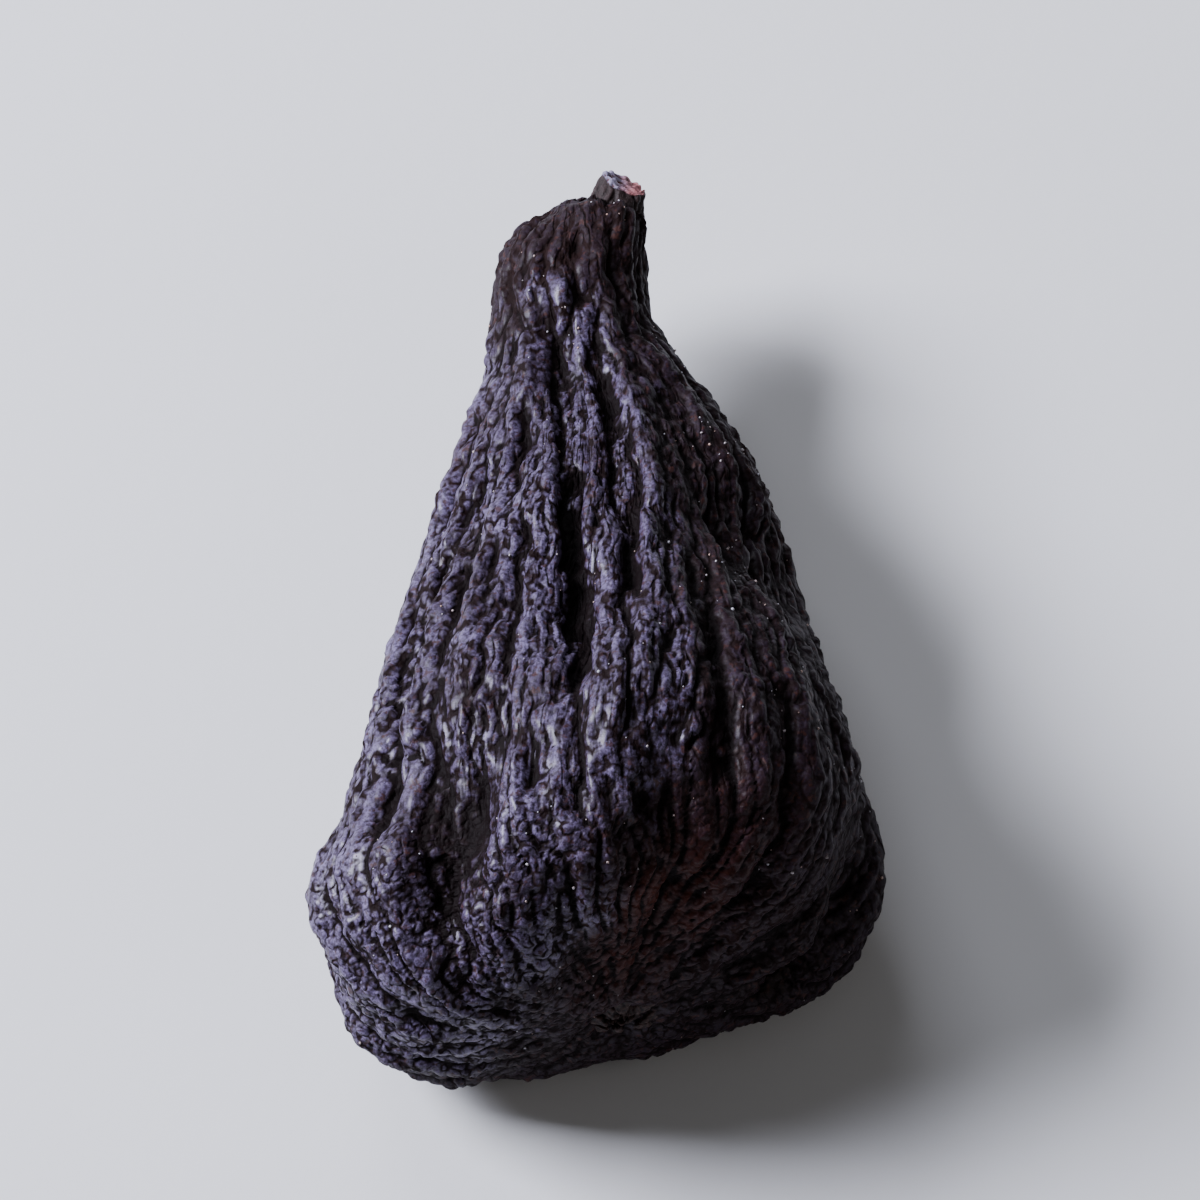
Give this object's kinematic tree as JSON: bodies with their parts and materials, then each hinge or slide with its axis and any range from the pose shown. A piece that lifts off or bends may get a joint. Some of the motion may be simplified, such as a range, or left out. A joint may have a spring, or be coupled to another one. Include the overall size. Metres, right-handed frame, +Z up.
{
  "type": "dried black fig",
  "caption": "Whole dried fig lying on its side: a wrinkled, teardrop-shaped fruit with a narrow neck, a cut stalk, a puckered eye and a squashed base.",
  "frame": {"origin": "on the surface that the fig lies on, under the centre of the fig's bounding box", "axes": "+Y along the fig from its base (the eye) to its neck and stalk, +Z up, +X to the fig's right seen from its base"},
  "size_m": [0.0282, 0.0478, 0.0206],
  "materials": {
    "fig_skin": "satin",
    "stalk_bark": "matte"
  },
  "bodies": {
    "root": {"fig_body": "fig_skin", "stem_stub": "stalk_bark"}
  },
  "joints": []
}
